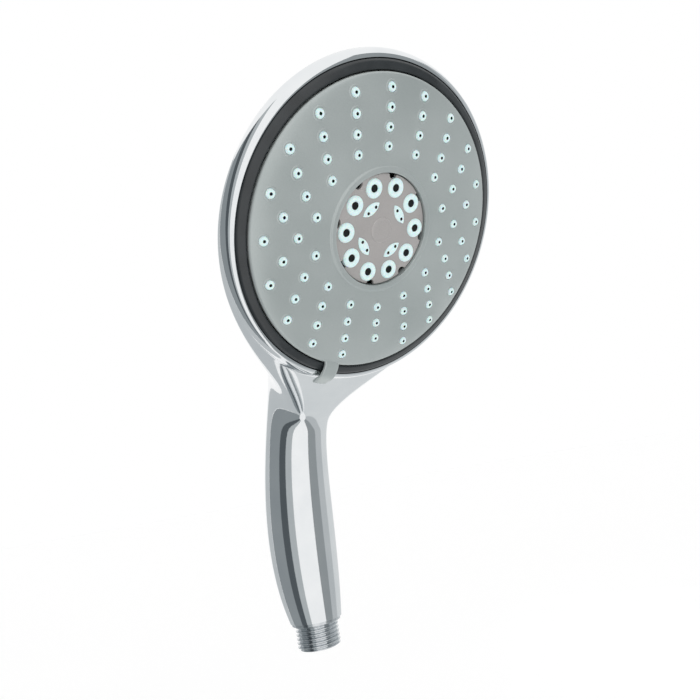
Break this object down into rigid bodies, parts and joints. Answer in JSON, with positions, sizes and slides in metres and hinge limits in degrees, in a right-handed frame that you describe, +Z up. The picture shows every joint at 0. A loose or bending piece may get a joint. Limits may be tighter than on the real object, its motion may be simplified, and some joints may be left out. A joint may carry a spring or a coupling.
{
  "type": "handheld shower head",
  "caption": "Handheld shower head: chrome handle and head with a turning spray face, click lever and standard hose thread.",
  "frame": {"origin": "centre of the hose thread's lower end face", "axes": "+Z up the handle along the thread's axis, the spray face looks towards -Y and leans down, +X to the right seen from the front"},
  "size_m": [0.14, 0.1521, 0.2378],
  "materials": {
    "chrome_shell": "polished chrome plate on moulded ABS",
    "chrome_brass": "chrome plate on turned brass",
    "dark_trim": "semi-gloss anthracite moulding",
    "grey_face": "satin pearl grey moulding",
    "grey_insert": "satin grey moulding",
    "pale_silicone": "matt silicone",
    "white_plastic": "natural moulded plastic",
    "green_plastic": "moulded",
    "seal_rubber": "moulded",
    "filter_mesh": "woven screen",
    "screw_steel": "stainless",
    "spring_steel": "bright drawn",
    "washer_brass": "turned"
  },
  "bodies": {
    "handset": {"rear_housing": "chrome_shell", "trim_ring": "dark_trim", "inlet_nipple": "chrome_brass", "inlet_filter": "filter_mesh", "flow_limiter": "green_plastic", "limiter_seal": "seal_rubber", "water_tube": "white_plastic", "tube_seals": "seal_rubber", "valve_cover": "white_plastic", "cover_seal": "seal_rubber", "cover_screws": "screw_steel", "valve_body": "white_plastic", "body_screws": "screw_steel", "port_seal": "seal_rubber", "port_spring": "spring_steel", "click_spring": "spring_steel", "click_spring_screws": "screw_steel", "pivot_seal": "seal_rubber", "thrust_washer": "washer_brass", "centre_screw": "screw_steel"},
    "spray_face": {"face_plate": "grey_face", "nozzle_mat": "pale_silicone", "distributor_disc": "white_plastic", "disc_screws": "screw_steel", "centre_insert": "grey_insert", "massage_nozzles": "pale_silicone", "mist_nozzles": "pale_silicone", "centre_cap": "grey_insert"}
  },
  "joints": [
    {"name": "face_turn", "type": "hinge", "parent": "handset", "child": "spray_face", "pos_m": [0, -0.09586, 0.17584], "axis": [0, -0.8192, -0.5736], "range_deg": [-21, 42], "deforming": ["click_spring"]}
  ]
}
